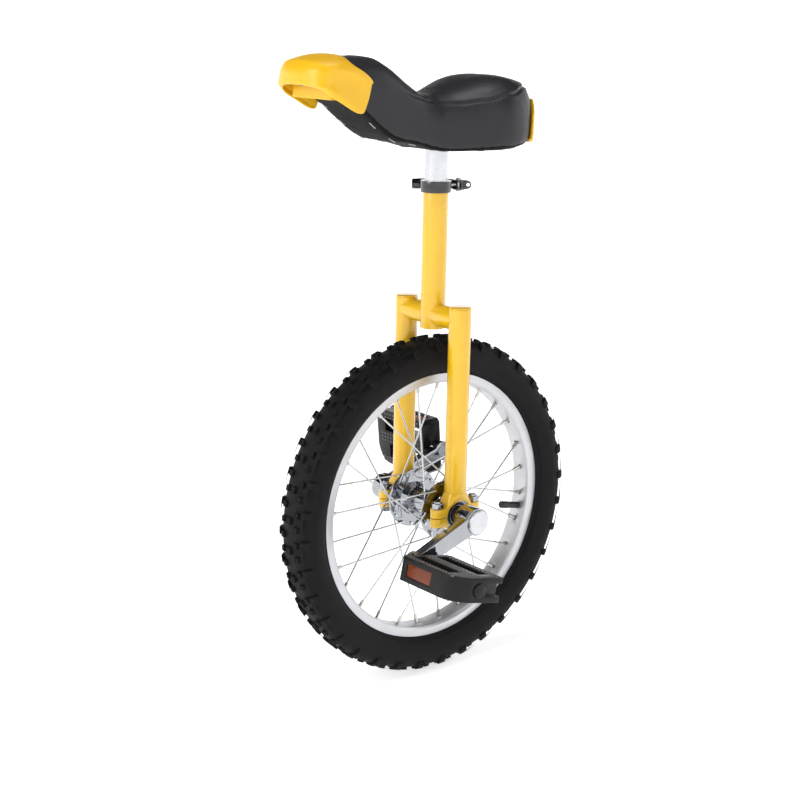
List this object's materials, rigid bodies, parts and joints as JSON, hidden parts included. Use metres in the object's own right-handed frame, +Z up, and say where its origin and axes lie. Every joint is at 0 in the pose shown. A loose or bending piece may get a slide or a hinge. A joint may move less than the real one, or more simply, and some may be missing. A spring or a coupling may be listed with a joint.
{
  "type": "unicycle",
  "caption": "Single-wheel cycle with a fork, laced spoked wheel, split bearing housings, cranks, platform pedals, height-adjustable seat post and a long padded saddle with end bumpers.",
  "frame": {"origin": "on the ground at the middle of the object's footprint, straight under the axle", "axes": "+X forward, towards the saddle's grab handle; +Y to the rider's left, along the axle; +Z up"},
  "size_m": [0.404, 0.382, 0.7206],
  "materials": {
    "yellow_enamel": "gloss",
    "yellow_plastic": "satin",
    "chrome_plate": "polished",
    "ground_steel": "satin",
    "seal_rubber": "matte",
    "black_enamel": "gloss",
    "zinc_steel": "satin",
    "satin_alloy": "satin",
    "rim_alloy": "satin",
    "spoke_steel": "polished",
    "nipple_nickel": "polished",
    "base_plastic": "matte",
    "cushion_foam": "matte",
    "black_vinyl": "satin",
    "tyre_rubber": "matte",
    "valve_rubber": "satin",
    "pedal_plastic": "satin",
    "amber_reflector": "gloss"
  },
  "bodies": {
    "frame": {"seat_tube": "yellow_enamel", "crown_tube": "yellow_enamel", "left_fork_leg": "yellow_enamel", "right_fork_leg": "yellow_enamel", "left_leg_cap": "yellow_enamel", "right_leg_cap": "yellow_enamel", "left_bearing_seat": "yellow_enamel", "right_bearing_seat": "yellow_enamel", "left_bearing_cap": "yellow_enamel", "right_bearing_cap": "yellow_enamel", "bearing_cap_bolts": "chrome_plate", "bearing_cap_nuts": "chrome_plate", "left_outer_race": "ground_steel", "right_outer_race": "ground_steel", "bearing_seals": "seal_rubber", "clamp_collar": "black_enamel", "clamp_skewer": "zinc_steel", "clamp_adjusting_nut": "black_enamel", "clamp_pivot_pin": "zinc_steel"},
    "clamp_lever": {"clamp_lever": "black_enamel"},
    "seat": {"seatpost": "satin_alloy", "seatpost_plate": "zinc_steel", "saddle_base": "base_plastic", "saddle_foam": "cushion_foam", "saddle_cover": "black_vinyl", "front_bumper": "yellow_plastic", "rear_bumper": "yellow_plastic", "bumper_screws": "zinc_steel", "saddle_bolts": "zinc_steel", "saddle_nuts": "zinc_steel"},
    "wheel": {"tyre": "tyre_rubber", "inner_tube": "seal_rubber", "rim_tape": "seal_rubber", "rim": "rim_alloy", "valve_stem": "valve_rubber", "valve_cap": "valve_rubber", "spokes": "spoke_steel", "nipples": "nipple_nickel", "hub_shell": "chrome_plate", "axle": "ground_steel", "left_inner_race": "ground_steel", "right_inner_race": "ground_steel", "bearing_spacers": "chrome_plate", "left_crank": "chrome_plate", "right_crank": "chrome_plate", "crank_bolts": "zinc_steel", "dust_caps": "satin_alloy", "left_pedal_spindle": "zinc_steel", "right_pedal_spindle": "zinc_steel", "pedal_spindle_nuts": "zinc_steel"},
    "left_cage": {"left_bearing_balls": "ground_steel", "left_ball_cage": "ground_steel"},
    "right_cage": {"right_bearing_balls": "ground_steel", "right_ball_cage": "ground_steel"},
    "left_pedal": {"left_pedal_body": "pedal_plastic", "left_pedal_reflectors": "amber_reflector", "left_pedal_end_cap": "pedal_plastic"},
    "right_pedal": {"right_pedal_body": "pedal_plastic", "right_pedal_reflectors": "amber_reflector", "right_pedal_end_cap": "pedal_plastic"}
  },
  "joints": [
    {"name": "wheel_spin", "type": "hinge", "parent": "frame", "child": "wheel", "pos_m": [0, 0, 0.202], "axis": [0, 1, 0], "continuous": true},
    {"name": "left_cage_roll", "type": "hinge", "parent": "frame", "child": "left_cage", "pos_m": [0, 0.0474, 0.202], "axis": [0, 1, 0], "continuous": true},
    {"name": "right_cage_roll", "type": "hinge", "parent": "frame", "child": "right_cage", "pos_m": [0, -0.0474, 0.202], "axis": [0, 1, 0], "continuous": true},
    {"name": "left_pedal_spin", "type": "hinge", "parent": "wheel", "child": "left_pedal", "pos_m": [0.08617, 0.14, 0.16978], "axis": [0, 1, 0], "continuous": true},
    {"name": "right_pedal_spin", "type": "hinge", "parent": "wheel", "child": "right_pedal", "pos_m": [-0.08617, -0.14, 0.23422], "axis": [0, 1, 0], "continuous": true},
    {"name": "seatpost_height", "type": "slide", "parent": "frame", "child": "seat", "axis": [0, 0, 1], "range_m": [-0.02, 0.065]},
    {"name": "clamp_lever_turn", "type": "hinge", "parent": "frame", "child": "clamp_lever", "pos_m": [-0.03408, -0.00077, 0.57425], "axis": [0, 0, -1], "range_deg": [0, 90]}
  ],
  "couplings": [
    {"joint": "left_cage_roll", "follows": "wheel_spin", "ratio": 0.4085},
    {"joint": "right_cage_roll", "follows": "wheel_spin", "ratio": 0.4085}
  ]
}
